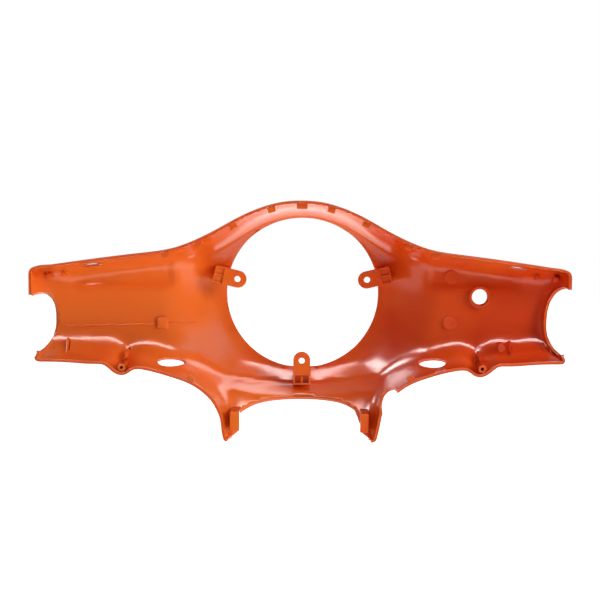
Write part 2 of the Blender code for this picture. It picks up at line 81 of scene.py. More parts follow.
# The bulge round each screw boss, on the wing's lower edge.
EAR = {
    "left": [(187.5, -61.8), (182, -65.4), (176.5, -69.8), (169.5, -71.8), (163.5, -69.8),
             (159.5, -67), (155.5, -65.9)],
    "right": [(187, -61.1), (181.5, -64.6), (176, -68.9), (169.5, -71), (163, -69.2),
              (159, -66.2), (155.5, -64.9)],
}
BOTTOM_EDGE = {
    "left": [(252.5, -55), (251.4, -58), (246, -59.5), (220, -60), (194, -61.3), *EAR["left"],
             (149, -66.4), (123, -73.2), (104, -80.3), (92, -88.4), (84, -96.8), (79.5, -104.5),
             (76, -114.5), (75.2, -122), (73.4, -131.6)],
    "right": [(249, -53.5), (248.1, -56.8), (243, -58.1), (220, -58.9), (194, -60.5), *EAR["right"],
              (149, -65), (123, -71.4), (104, -78.7), (88, -90.5), (78.6, -104), (75.6, -117),
              (72.8, -130)],
}
LEG_TIP = {
    "left": [(73.4, -131.6), (72.2, -133.8), (69.8, -134.4)],
    "right": [(72.8, -130), (71.2, -133.2), (67.6, -134.5)],
}
LEFT_LEG_INSIDE = [(-69, -142), (-67.5, -134), (-61, -130), (-60.5, -116), (-57, -111.8)]
ARCH = [(-57, -111.8), (-47, -107), (-32, -103.6), (0, -101.9), (32, -103.6), (45, -106.8), (52, -110.4)]
RIGHT_LEG_INSIDE = [(52, -110.4), (55.3, -117), (57.6, -124), (58.8, -130), (66, -133.8), (67.4, -142)]
GRIP_OPENING = {
    "left": {"z": -25.0, "inner_x": 238.8, "up": 28.0, "down": 31.0, "squareness": 0.67},
    "right": {"z": -26.0, "inner_x": 235.3, "up": 39.2, "down": 30.0, "squareness": 0.8},
}
GRIP_CENTRE_X = 262.0
ROLLED_LIP = {"drop": 0.27, "width": 9.0}
SWITCH_HOLE = {"x": 172.4, "z": 0.5, "radius": 7.4}
LEVER_SLOTS = {"left": (-126.9, -66.0, -0.11), "right": (127.1, -64.8, 0.12)}
LEVER_SLOT_HALF = (12.6, 3.3)
MIRROR_SLITS = {"left": (-202.0, 32.4, 0.13), "right": (206.0, 31.9, -0.13)}
MIRROR_SLIT_HALF = (10.0, 1.7)
LEG_RELIEF = (98.6, -104.3, 20.9, 18.4)
PAD_RISE = 4.5
PAD_SPANS = {"left": (124.0, 226.0), "right": (122.0, 214.0)}
PAD_LOW = 4.0
PAD_BELOW_EDGE = 9.0
PAD_FADES = {"inner": 7.0, "outer": 12.0, "low": 9.0, "high": 6.0}

# The three screw tabs of the headlamp, by their angle about its axis.
TAB_ANGLES = {"left": 166.6, "right": 13.5, "bottom": 270.0}
TAB_WIDTH = 16.6
TAB_TIP = 56.4
TAB_HOLE_AT = 65.2
TAB_HOLE_RADIUS = 3.1
TAB_ROOT = 76.5
TAB_DEPTH = 58.5
TAB_THICKNESS = 3.0
TAB_WALL = 1.6
BRACKET_LENGTH = 12.5
TAB_OVERLAP = 3.0
BRACKET_OVERLAP = 0.6
BRACKET_SET_BACK = 0.4
POCKET_START = 2.6
CORE_INSET = 0.8
POCKET_FLOORS = {"left": 60.0, "right": 60.0, "bottom": 63.0}

# The catches along the rear edge: name, and (place along X, width).
TOP_CATCHES = {
    "top_middle": (0.5, 10.0),
    "top_left_1": (-29.4, 7.0),
    "top_left_2": (-66.8, 7.0),
    "top_left_3": (-98.5, 7.0),
    "top_left_4": (-129.0, 7.0),
    "top_right_1": (29.4, 7.0),
    "top_right_2": (63.3, 7.0),
    "top_right_3": (102.5, 7.0),
    "top_right_4": (127.0, 7.0),
}
LOWER_CATCH_X = 106.0
LOWER_CATCH_WIDTH = 7.0
LOWER_CATCH_REACH = 3.5
CATCH_REACH = 4.2
CATCH_GAP = 0.9
CATCH_REAR = 2.0
CATCH_LENGTH = 5.5

# Below the wings and on the legs.
SCREW_BOSSES = {"left": (-169.8, -64.6), "right": (171.5, -63.3)}
BOSS_RADIUS = 3.9
BOSS_HOLE_RADIUS = 1.5
BOSS_REAR = 1.4
LEG_BLOCKS = {"left": (-62.9, -116.2, 4.6, 9.4), "right": (60.8, -117.0, 4.0, 9.2)}
LEG_BLOCK_REAR = 6.0

# Round posts and pads that stand on the shell: x, z, radius, height.
POSTS = {
    "locating_post_left_outer": (-243.0, 19.0, 2.6, 6.0),
    "locating_post_left_inner": (-230.0, 21.0, 2.2, 5.0),
    "locating_post_right_outer": (243.0, 19.5, 2.6, 6.0),
    "locating_post_right_inner": (225.5, 21.0, 2.2, 5.0),
    "screw_post_right_lower": (192.0, -46.5, 3.4, 9.0),
    "clip_pad_right_upper": (145.0, 19.0, 6.5, 0.9),
    "clip_pad_right_lower": (144.0, -25.5, 6.5, 0.9),
}
COLLAR_RADII = (10.6, 7.9)
COLLAR_HEIGHT = 2.2
REARMOST = 1.5
FOOT_SINK = 1.0

# Ribs and pads: x, z, half length, half width, tilt, height.
RIBS = {
    "cable_rib_left_outer": (-186.5, -29.5, 42.0, 0.8, 0.02, 1.1),
    "cable_rib_left_inner": (-117.0, -28.5, 12.0, 0.8, -0.05, 1.1),
    "cable_pad_left": (-136.5, -27.5, 4.6, 5.4, 0.0, 2.6),
    "ear_rib_left": (-169.8, -56.6, 0.9, 3.2, 0.0, 12.0),
    "ear_rib_right": (171.5, -55.8, 0.9, 3.2, 0.0, 12.0),
    "stop_rib_left": (-226.0, -47.5, 0.9, 5.5, 0.12, 5.0),
    "stop_rib_right": (201.0, -47.5, 0.9, 5.5, 0.0, 5.0),
}

# How fine the finished shell is, and how its cut edges are rounded.
EDGE_STEP = 2.6
FACE_STEP = 3.6
CUT_STEP = 1.4
TURN_SHARES = (0.1, 0.22, 0.36, 0.5, 0.64, 0.76, 0.86, 0.93, 0.975)
RIM_BAND = 0.012
# How near the loose points of the mesh may come to its edges and to each other.
ROW_CLEAR = 1.0
GRID_CLEAR = 1.8
ROW_SPACING = 0.866
# Points beside each cut edge, which keep the shading flat up to it.
GUARD = 0.6
GUARD_SHARE = 0.8
FEATURE_GUARD = 0.45
FEATURE_GUARD_SHARE = 0.7
# How many points are measured against a curve at once.
CHUNK = 4000
# Each band that closes an edge: how far along the edge from the near or, if negative, the far skin, and how
# far it bulges there.
SHELL_ROUNDS = ((0.3, 0.3), (1.25, 0.45), (-0.3, 0.3))
PLATE_ROUNDS = ((0.15, 0.28), (0.5, 0.45), (-0.5, 0.45), (-0.15, 0.28))
POST_ROUNDS = ((0.15, 0.28), (0.5, 0.45))
# The rounded top of a post, pad or rib, and its flared foot: each ring's way out, and its way in or up.
TOP_ROUNDING = ((-1.6, 0.0), (-1.0, 0.0), (-0.3, 0.3), (0.0, 1.0))
FOOT_FLARE = ((0.0, 1.3), (0.25, 0.55), (0.8, 0.08), (1.4, -0.8))
FLARE_PER_HEIGHT = 0.35

# The camera and its distance, in degrees and metres, and how wide its view is at the cover.
CAMERA_AZIMUTH = 1.0
CAMERA_ELEVATION = 5.9
CAMERA_ROLL = 0.33
CAMERA_DISTANCE = 1.4
CAMERA_TARGET = (-0.001, 0.0, 0.0011)
VIEW_WIDTH = 0.564

# The plastic inside and outside: how polished it is, and the two colours between which it drifts. The drift
# is partly random tone and partly painted light, which pushes the left side towards the light colour.
INSIDE_PLASTIC = {
    "roughness": 0.15,
    "specular": 0.5,
    "dark": (0.74, 0.062, 0.005),
    "light": (0.85, 0.165, 0.018),
}
OUTSIDE_PLASTIC = {
    "roughness": 0.12,
    "specular": 0.3,
    "dark": (0.70, 0.085, 0.008),
    "light": (0.76, 0.10, 0.011),
}
DULLEST = 0.12
# Painted light: how fast the colour grows paler from the right end to the left one, per metre, standing in
# for the left wing catching more light than the right one.
PAINTED_LIGHT_SLOPE = 1.1

# The studio: how bright the room, the backdrop and the floor are, and the point that every lamp faces.
ROOM_LIGHT = 0.12
BACKDROP_LIGHT = 0.35
FLOOR_GLOW = 1.0
LIT_POINT = (0.0, 0.04, 0.0)
# Soft lamps that light the cover but don't show in it: direction, distance, size and power.
SOFTBOXES = {
    "key_light": ((0.80, -0.50, 0.34), 2.4, (0.9, 0.9), 31),
    "top_light": ((0.0, -0.42, 0.90), 1.6, (1.9, 0.35), 4.4),
}
# Cards that show only as reflections: direction, distance, size and power.
CARDS = {
    "left_card": ((-0.74, -0.04, 0.63), 2.2, (2.1, 0.60), 105),
    "rear_card": ((0.0, -0.62, 0.76), 1.6, (1.7, 0.34), 30),
    "front_card": ((0.24, -0.88, -0.38), 2.0, (0.55, 0.7), 3),
    "low_card": ((0.0, 0.35, -0.93), 0.60, (3.0, 2.0), 27),
    "back_card": ((0.38, 0.55, 0.75), 1.6, (1.1, 1.2), 16),
}


# ---- curves in the XZ plane -------------------------------------------------------------------------


def smooth_curve(points, step):
    """Points about `step` apart along a natural cubic spline through the given points."""
    given = np.array(points, float)
    run = np.concatenate([[0], np.cumsum(np.linalg.norm(np.diff(given, axis=0), axis=1))])
    gaps = np.diff(run)
    count = len(given)
    system = np.eye(count)
    pull = np.zeros((count, 2))
    for i in range(1, count - 1):
        system[i, i - 1 : i + 2] = gaps[i - 1], 2 * (gaps[i - 1] + gaps[i]), gaps[i]
        slopes = np.diff(given[i - 1 : i + 2], axis=0) / gaps[i - 1 : i + 1, None]
        pull[i] = 6 * (slopes[1] - slopes[0])
    bend = np.linalg.solve(system, pull)
    along = np.linspace(0, run[-1], max(3, round(run[-1] / step) + 1))
    i = np.clip(np.searchsorted(run, along, side="right") - 1, 0, count - 2)
    gap = gaps[i][:, None]
    after = (along - run[i])[:, None]
    before = gap - after
    ends = bend[i] * before**3 + bend[i + 1] * after**3
    lines = (given[i] / gap - gap * bend[i] / 6) * before
    lines += (given[i + 1] / gap - gap * bend[i + 1] / 6) * after
    return ends / (6 * gap) + lines


def joined(*curves):
    """One run of points from curves that start where the one before ends."""
    points = [np.asarray(curves[0], float)]
    for curve in curves[1:]:
        points.append(np.asarray(curve, float)[1:])
    return np.concatenate(points)


def mirrored(curve):
    """The left-hand twin, running the other way."""
    return (np.asarray(curve, float) * (-1, 1))[::-1]


def closed(loop):
    return np.concatenate([loop, loop[:1]])


def oval(x, z, half_x, half_z, tilt=0.0, step=CUT_STEP):
    count = max(20, round(math.pi * (half_x + half_z) / step))
    turn = np.arange(count) * 2 * math.pi / count
    across, up = half_x * np.cos(turn), half_z * np.sin(turn)
    cos, sin = math.cos(tilt), math.sin(tilt)
    return np.stack([x + across * cos - up * sin, z + across * sin + up * cos], 1)


def grip_curve(side, step):
    """The grip opening's edge, top to bottom: squarer above than below."""
    size = GRIP_OPENING[side]
    sign = 1 if side == "right" else -1
    reach = GRIP_CENTRE_X - size["inner_x"]
    points = []
    count = round(math.pi * size["down"] / step)
    for i in range(count + 1):
        turn = math.pi * (0.5 - i / count)
        power, half = (size["squareness"], size["up"]) if turn > 0 else (1, size["down"])
        x = GRIP_CENTRE_X - reach * max(math.cos(turn), 0) ** power
        z = size["z"] + half * math.copysign(abs(math.sin(turn)) ** power, turn)
        points.append((sign * x, z))
    return np.array(points)


def grip_cutter(side, step):
    far = WING_REACH[side] + 30
    sign = 1 if side == "right" else -1
    curve = grip_curve(side, step)
    return np.concatenate([curve, [(sign * far, curve[-1][1]), (sign * far, curve[0][1])]])


def inside(points, loop):
    """Which points lie within the closed loop, by counting the edges that a line through each crosses."""
    held = np.zeros(len(points), bool)
    a, b = loop, np.roll(loop, -1, axis=0)
    rise = np.where(b[:, 1] == a[:, 1], 1e-12, b[:, 1] - a[:, 1])
    for first in range(0, len(points), CHUNK):
        some = points[first : first + CHUNK]
        x, z = some[:, 0][:, None], some[:, 1][:, None]
        spans = (a[:, 1] > z) != (b[:, 1] > z)
        crossing = a[:, 0] + (z - a[:, 1]) * (b[:, 0] - a[:, 0]) / rise
        held[first : first + CHUNK] = (spans & (x < crossing)).sum(axis=1) % 2 == 1
    return held


def distance(points, line):
    """Each point's distance from the polyline, and the nearest segment's direction."""
    a, b = line[:-1], line[1:]
    run = b - a
    gaps, runs = np.empty(len(points)), np.empty((len(points), 2))
    for first in range(0, len(points), CHUNK):
        offset = points[first : first + CHUNK, None] - a
        share = np.clip((offset * run).sum(2) / (run**2).sum(1), 0, 1)
        found = np.linalg.norm(offset - share[..., None] * run, axis=2)
        nearest = found.argmin(axis=1)
        gaps[first : first + CHUNK] = found[np.arange(len(found)), nearest]
        runs[first : first + CHUNK] = run[nearest]
    return gaps, runs


# ---- the shell's surface ----------------------------------------------------------------------------


def edges(step):
    """The edges that touch the rear cover: the whole top, and the right and left halves of the bottom."""
    crown = smooth_curve(joined(mirrored(CROWN), CROWN), step)
    ends, bottoms = {}, {}
    for side, reach in WING_REACH.items():
        corner = [CROWN[-1], *[(reach - inward, z) for inward, z in TOP_CORNER]]
        foot = [corner[-1], (reach, END_FOOT)]
        ends[side] = joined(smooth_curve(corner, step / 3), smooth_curve(foot, step))
        edge = BOTTOM_EDGE[side]
        bottoms[side] = joined(smooth_curve(edge[:3], step / 3), smooth_curve(edge[2:], step),
                               smooth_curve(LEG_TIP[side], step / 4))
    top = joined(mirrored(ends["left"]), crown, ends["right"])
    return top, bottoms["right"], mirrored(bottoms["left"])


def smooth_step(value):
    value = np.clip(value, 0, 1)
    return value * value * (3 - 2 * value)


def turned(share):
    """The depth that the wall has reached at this share of its turn, 0 at the edge and 1 on the face."""
    return (1 - (1 - np.clip(share, 0, 1)) ** TURN_POWER) ** (1 / TURN_POWER)


RIMS = edges(EDGE_STEP)
RIGHT_GRIP = grip_curve("right", 2.0)


def top_turn(points):
    start, length = TOP_TURN_CHANGE
    return TOP_TURN + (END_TURN - TOP_TURN) * smooth_step((abs(points[:, 0]) - start) / length)


def bottom_turn(points):
    start, length = BOTTOM_TURN_CHANGE
    return LEG_TURN + (WING_BOTTOM_TURN - LEG_TURN) * smooth_step((abs(points[:, 0]) - start) / length)


def depth(points):
    """How far forward the shell's outer face stands over each point of the XZ plane."""
    x, z = abs(points[:, 0]), points[:, 1]
    wing = ROOT_DEPTH + (TIP_DEPTH - ROOT_DEPTH) * (x - WING_ROOT) / (TIP_X - WING_ROOT)
    lamp = 1 - smooth_step((np.hypot(x, z) - LAMP_RADIUS + LAMP_FLAT) / LAMP_SLOPE)
    face = wing + (LAMP_DEPTH - wing) * lamp
    down, share = np.array(CHIN_FALL).T
    aside = np.degrees(np.arctan2(x, -z))
    held = 1 - smooth_step((aside - CHIN_SIDES[0]) / CHIN_SIDES[1])
    face *= 1 + held * (np.interp(CHIN_BOW * x**2 - z, down, share) - 1)
    from_top, from_right, from_left = (distance(points, rim)[0] for rim in RIMS)
    from_bottom = np.minimum(from_right, from_left)
    face *= turned(from_top / top_turn(points)) * turned(from_bottom / bottom_turn(points))
    opening = distance(points, RIGHT_GRIP)[0]
    face *= 1 - ROLLED_LIP["drop"] * (1 - turned(opening / ROLLED_LIP["width"]))
    near, far = np.where(points[:, :1] < 0, PAD_SPANS["left"], PAD_SPANS["right"]).T
    pad = smooth_step((x - near) / PAD_FADES["inner"]) * smooth_step((far - x) / PAD_FADES["outer"])
    pad *= smooth_step((z - PAD_LOW) / PAD_FADES["low"])
    pad *= smooth_step((from_top - PAD_BELOW_EDGE) / PAD_FADES["high"])
    return face + PAD_RISE * pad


def cutters():
    """Every opening through the shell, each a closed loop in the XZ plane."""
    loops = {
        "lamp": oval(0, 0, LAMP_RADIUS, LAMP_RADIUS, step=EDGE_STEP),
        "arch": joined(LEFT_LEG_INSIDE, smooth_curve(ARCH, EDGE_STEP), RIGHT_LEG_INSIDE),
        "switch": oval(SWITCH_HOLE["x"], SWITCH_HOLE["z"], SWITCH_HOLE["radius"], SWITCH_HOLE["radius"]),
        "relief": oval(*LEG_RELIEF),
    }
    for side in ("left", "right"):
        loops["grip_" + side] = grip_cutter(side, EDGE_STEP)
        loops["lever_" + side] = oval(*LEVER_SLOTS[side][:2], *LEVER_SLOT_HALF, LEVER_SLOTS[side][2])
        loops["mirror_" + side] = oval(*MIRROR_SLITS[side][:2], *MIRROR_SLIT_HALF, MIRROR_SLITS[side][2])
    return loops


def sidestep(line, reach):
    """The line moved to its left by `reach`."""
    run = np.gradient(line, axis=0)
    side = np.stack([-run[:, 1], run[:, 0]], 1) / np.linalg.norm(run, axis=1)[:, None]
    return line + side * np.broadcast_to(reach, len(line))[:, None]


def rim_rows():
    """Rows of points beside both edges, where the wall turns, each row at its own share of the depth."""
    rows = []
    for i, line in enumerate(RIMS):
        turn = bottom_turn(line) if i else top_turn(line)
        for share in TURN_SHARES:
            rows.append(sidestep(line, -turn * (1 - (1 - share**TURN_POWER) ** (1 / TURN_POWER))))
    return rows


def triangulated(loops, loose, keep):
    """A Delaunay mesh of the XZ plane that follows every loop, less the triangles that `keep` drops."""
    points, borders = [], []
    for loop in loops:
        first = len(points)
        points += [Vector(p) for p in loop]
        borders += [(first + i, first + (i + 1) % len(loop)) for i in range(len(loop))]
    points += [Vector(p) for p in loose]
    made, _, faces, *_ = delaunay_2d_cdt(points, borders, [], 0, 1e-5)
    flat = np.array([(p.x, p.y) for p in made])
    faces = np.array([face for face in faces if len(face) == 3])
    return flat, faces[keep(flat[faces].mean(axis=1))]


def skin_normals(points, faces):
    a, b, c = (points[faces[:, i]] for i in range(3))
    cross = np.cross(b - a, c - a)
    cross[cross[:, 1] < 0] *= -1
    normals = np.zeros_like(points)
    for i in range(3):
        np.add.at(normals, faces[:, i], cross)
    return normals / np.maximum(np.linalg.norm(normals, axis=1), 1e-9)[:, None]


def raised(flat, y):
    return np.stack([flat[:, 0], np.broadcast_to(y, len(flat)), flat[:, 1]], 1)


def shell_mesh():
    """The inner and outer skins of the shell, as points that share one set of triangles."""
    loops = cutters()
    border = np.concatenate(RIMS)
    rows = rim_rows()
    low, high = border.min(axis=0), border.max(axis=0)
    columns = np.arange(low[0], high[0], FACE_STEP)
    levels = np.arange(low[1], high[1], FACE_STEP * ROW_SPACING)
    x, z = np.meshgrid(columns, levels, indexing="ij")
    x = x + FACE_STEP / 2 * (np.arange(x.shape[1]) % 2)
    grid = np.stack([x.ravel(), z.ravel()], 1)
    guards = [sidestep(closed(loop), -GUARD)[:-1] for loop in loops.values()]
    loose = []
    groups = [(row, ROW_CLEAR) for row in rows]
    groups += [(guard, GUARD * GUARD_SHARE) for guard in guards]
    groups.append((grid, GRID_CLEAR))
    for group, clear in groups:
        held = inside(group, border)
        for loop in loops.values():
            held &= ~inside(group, loop)
            held &= distance(group, closed(loop))[0] > clear
        if group is grid:
            for row in [*rows, *RIMS]:
                held &= distance(group, row)[0] > clear
        loose.append(group[held])

    def keep(middle):
        kept = inside(middle, border)
        for loop in loops.values():
            kept &= ~inside(middle, loop)
        return kept

    flat, faces = triangulated([border, *loops.values()], np.concatenate(loose), keep)
    reaches, runs = zip(*[distance(flat, rim) for rim in RIMS])
    nearest = np.argmin(reaches, axis=0)
    on_rim = np.min(reaches, axis=0) < RIM_BAND
    outer = raised(flat, depth(flat))
    outer[on_rim, 1] = 0.0
    normals = skin_normals(outer, faces)
    for i in np.flatnonzero(on_rim):
        run = runs[nearest[i]][i]
        normals[i] = Vector((-run[1], 0, run[0])).normalized()
    inner = outer - WALL * normals
    inner[on_rim, 1] = 0.0
    return inner, outer, faces


def rounded_solid(name, near, far, faces, rounds, materials):
    """A closed body between two skins that share triangles, its open edges closed by a rounded band.

    The near skin takes the first material, and the far skin and the band take the last one."""
    a, b, c = (near[faces[:, i]] for i in range(3))
    if np.cross(b - a, c - a)[:, 1].sum() > 0:
        faces = faces[:, ::-1]
    used, faces = np.unique(faces, return_inverse=True)
    faces = faces.reshape(-1, 3)
    near, far = near[used], far[used]
    count = len(used)
    sides = {(int(face[i]), int(face[(i + 1) % 3])) for face in faces for i in range(3)}
    border = sorted((a, b) for a, b in sides if (b, a) not in sides)
    middle, through = (near + far) / 2, far - near
    out = np.zeros_like(middle)
    for a, b in border:
        push = np.cross(middle[b] - middle[a], through[a] + through[b])
        push /= max(np.linalg.norm(push), 1e-9)
        out[a] += push
        out[b] += push
    edge = np.array(sorted({v for side in border for v in side}))
    place_of = {int(v): i for i, v in enumerate(edge)}
    out = out[edge] / np.maximum(np.linalg.norm(out[edge], axis=1), 1e-9)[:, None]
    along = through[edge] / np.linalg.norm(through[edge], axis=1)[:, None]
    rings = []
    for reach, bulge in rounds:
        start = near[edge] if reach > 0 else far[edge]
        rings.append(start + along * reach + out * bulge)
    points = np.concatenate([near, far, *rings])
    walls = []
    for a, b in border:
        ends = []
        for v in (a, b):
            band = [2 * count + level * len(edge) + place_of[v] for level in range(len(rings))]
            ends.append([v, *band, v + count])
        for level in range(len(rings) + 1):
            walls.append((ends[1][level], ends[0][level], ends[0][level + 1], ends[1][level + 1]))
    polygons = [tuple(f) for f in faces] + [tuple(f[::-1] + count) for f in faces] + walls
    obj = new_object(name, points, polygons, materials[0])
    for material in materials[1:]:
        obj.data.materials.append(material)
    index = np.full(len(polygons), len(materials) - 1, np.int32)
    index[: len(faces)] = 0
    obj.data.polygons.foreach_set("material_index", index)
    return obj


# ---- features ---------------------------------------------------------------------------------------


def tree_of(points, faces):
    return BVHTree.FromPolygons([Vector(p) for p in points], faces.tolist())


def floor_at(flat, start=-5.0):
    """The depth of the shell's inner face over each point, or of its nearest neighbour over a hole."""
    found = []
    for x, z in flat:
        hit = INNER_FACE.ray_cast(Vector((x, start, z)), Vector((0, 1, 0)))[0]
        found.append(math.nan if hit is None else hit.y)
    found = np.array(found)
    missing = np.isnan(found)
    for i in np.flatnonzero(missing):
        near = np.linalg.norm(flat - flat[i], axis=1) + np.where(missing, 1e6, 0)
        found[i] = found[near.argmin()]
    return found


def sunk_foot(flat):
    """Just inside the shell's wall, so that a feature's foot joins it without a gap."""
    return floor_at(flat) + FOOT_SINK


def swollen(loop, reach):
    """The closed loop moved outward by `reach`; the loop runs anticlockwise."""
    run = np.roll(loop, -1, axis=0) - np.roll(loop, 1, axis=0)
    side = np.stack([run[:, 1], -run[:, 0]], 1) / np.linalg.norm(run, axis=1)[:, None]
    return loop + side * reach


def new_object(name, points, polygons, material):
    mesh = bpy.data.meshes.new(name)
    mesh.from_pydata((np.asarray(points) * MM).tolist(), [], [tuple(int(i) for i in f) for f in polygons])
    mesh.materials.append(material)
    mesh.shade_smooth()
    obj = bpy.data.objects.new(name, mesh)
    bpy.context.scene.collection.objects.link(obj)
    return obj


def stacked(name, rings, material):
    """A closed body through rings of points, the first one nearest to the viewer inside the cover."""
    count = len(rings[0])
    polygons = [range(count), [*range(len(rings) * count - 1, (len(rings) - 1) * count - 1, -1)]]
    for level in range(len(rings) - 1):
        low, high = level * count, (level + 1) * count
        for i in range(count):
            after = (i + 1) % count
            polygons.append((low + i, high + i, high + after, low + after))
    return new_object(name, np.concatenate(rings), polygons, material)


def standing(name, loop, height, material, follows=False, soften=0.45):
    """A post, pad or rib on the shell: its top edge rounded, and its foot flared into the wall."""
    floor = floor_at(loop)
    top = (floor if follows else np.full(len(loop), floor.min())) - height
    top = np.maximum(top, REARMOST)
    rings = []
    for inset, drop in TOP_ROUNDING:
        rings.append(raised(swollen(loop, inset * soften), top + drop * soften))
    flare = min(1.0, FLARE_PER_HEIGHT * height)
    for outset, rise in FOOT_FLARE:
        ring = swollen(loop, outset * flare)
        level = floor_at(ring) - rise * flare
        if len(rings) == len(TOP_ROUNDING):
            level = np.maximum(level, rings[-1][:, 1])
        rings.append(raised(ring, level))
    return stacked(name, rings, material)


def column(name, loops, near, far, rounds, material):
    """A body along Y over the first loop less the others, between two depths or depth functions."""
    loops = [np.asarray(loop, float) for loop in loops]

    def keep(middle):
        kept = inside(middle, loops[0])
        for loop in loops[1:]:
            kept &= ~inside(middle, loop)
        return kept

    guards = [swollen(loops[0], -FEATURE_GUARD)]
    guards += [swollen(loop, FEATURE_GUARD) for loop in loops[1:]]
    guards = np.concatenate(guards)
    clear = keep(guards)
    for loop in loops:
        clear &= distance(guards, closed(loop))[0] > FEATURE_GUARD * FEATURE_GUARD_SHARE
    flat, faces = triangulated(loops, guards[clear], keep)
    ends = [end(flat) if callable(end) else end for end in (near, far)]
    return rounded_solid(name, raised(flat, ends[0]), raised(flat, ends[1]), faces, rounds, [material])


def split_edges(loop, step):
    """The loop with its long sides cut into pieces no longer than `step`."""
    loop = np.asarray(loop, float)
    points = []
    for a, b in zip(loop, np.roll(loop, -1, axis=0)):
        count = max(1, math.ceil(np.linalg.norm(b - a) / step))
        points += [a + (b - a) * i / count for i in range(count)]
    return np.array(points)


def arc(x, z, radius, start, end, count):
    turns = np.radians(np.linspace(start, end, count))
    return np.stack([x + radius * np.cos(turns), z + radius * np.sin(turns)], 1)


def rounded_box(x, z, half_x, half_z, tilt=0.0, radius=0.5, step=2.0):
    """An anticlockwise rectangle with rounded corners, its sides cut into short pieces."""
    radius = min(radius, half_x * 0.9, half_z * 0.9)
    corners = []
    for turn, (side_x, side_z) in enumerate(((1, -1), (1, 1), (-1, 1), (-1, -1))):
        centre = side_x * (half_x - radius), side_z * (half_z - radius)
        corners.append(arc(*centre, radius, turn * 90 - 90, turn * 90, 4))
    loop = split_edges(np.concatenate(corners), step)
    cos, sin = math.cos(tilt), math.sin(tilt)
    return np.stack([x + loop[:, 0] * cos - loop[:, 1] * sin, z + loop[:, 0] * sin + loop[:, 1] * cos], 1)


def radial(points, angle):
    """Points given as (outward, sideways) from the lamp's axis, turned to the tab's own angle."""
    cos, sin = math.cos(math.radians(angle)), math.sin(math.radians(angle))
    points = np.asarray(points, float)
    return np.stack([points[:, 0] * cos - points[:, 1] * sin, points[:, 0] * sin + points[:, 1] * cos], 1)


def finish_piece(obj, *nodes):
    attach(obj, BODY)
    if nodes:
        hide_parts(*nodes)


def make_lamp_tab(side, angle, material):
    """A screw tab for the headlamp, and the cored bracket that carries it on the shell."""
    half = TAB_WIDTH / 2
    tip = arc(TAB_TIP + half, 0, half, 90, 270, 33)
    root = TAB_ROOT + TAB_OVERLAP
    plate = split_edges(np.concatenate([tip, [(root, -half), (root, half)]]), 2.0)
    hole = oval(TAB_HOLE_AT, 0, TAB_HOLE_RADIUS, TAB_HOLE_RADIUS, step=0.7)
    rear, front = TAB_DEPTH, TAB_DEPTH + TAB_THICKNESS
    loops = [radial(plate, angle), radial(hole, angle)]
    tab = column("screw_tab_" + side, loops, rear, front, PLATE_ROUNDS, material)
    finish_piece(tab, "lamp_tab_" + side)
    start, end = TAB_ROOT - BRACKET_OVERLAP, TAB_ROOT + BRACKET_LENGTH
    ribs = half - TAB_WALL
    loops = [rounded_box((start + end) / 2, 0, (end - start) / 2, half, radius=1.2)]
    for low, high in ((-ribs, -TAB_WALL / 2), (TAB_WALL / 2, ribs)):
        first, last = start + POCKET_START, end - TAB_WALL
        middle = (first + last) / 2, (low + high) / 2
        loops.append(rounded_box(*middle, (last - first) / 2, (high - low) / 2, radius=0.8))
    loops = [radial(loop, angle) for loop in loops]
    bracket = column("tab_bracket_" + side, loops, rear + BRACKET_SET_BACK, sunk_foot, POST_ROUNDS, material)
    finish_piece(bracket, "lamp_bracket_" + side)
    core = rounded_box((start + end) / 2, 0, (end - start) / 2 - CORE_INSET, half - CORE_INSET, radius=0.8)
    core = radial(core, angle)
    web = column("tab_core_" + side, [core], POCKET_FLOORS[side], sunk_foot, PLATE_ROUNDS, material)
    finish_piece(web)


def make_catch(name, edge, x, width, reach, material):
    """A small lug just inside the shell's rear edge, which the rear cover snaps behind."""
    at = np.array([np.interp(x, edge[:, 0], edge[:, i]) for i in (0, 1)])
    ahead = np.array([np.interp(x + 1, edge[:, 0], edge[:, i]) for i in (0, 1)]) - at
    tilt = math.atan2(ahead[1], ahead[0])
    inward = np.array([math.sin(tilt), -math.cos(tilt)]) * (-1 if at[1] < 0 else 1)
    first, last = WALL - FOOT_SINK, WALL + CATCH_GAP + reach
    middle = at + inward * (first + last) / 2
    loop = rounded_box(*middle, width / 2, (last - first) / 2, tilt, 0.7, 1.2)
    lug = column("lug_" + name, [loop], CATCH_REAR, CATCH_REAR + CATCH_LENGTH, PLATE_ROUNDS, material)
    finish_piece(lug, "catch_" + name)


def make_screw_boss(side, material):
    """The round boss in the bulge below a wing, bored for the screw that holds the rear cover."""
    x, z = SCREW_BOSSES[side]
    loops = [oval(x, z, radius, radius, step=0.6) for radius in (BOSS_RADIUS, BOSS_HOLE_RADIUS)]
    boss = column("boss_" + side, loops, BOSS_REAR, sunk_foot, POST_ROUNDS, material)
    finish_piece(boss, "screw_boss_" + side)


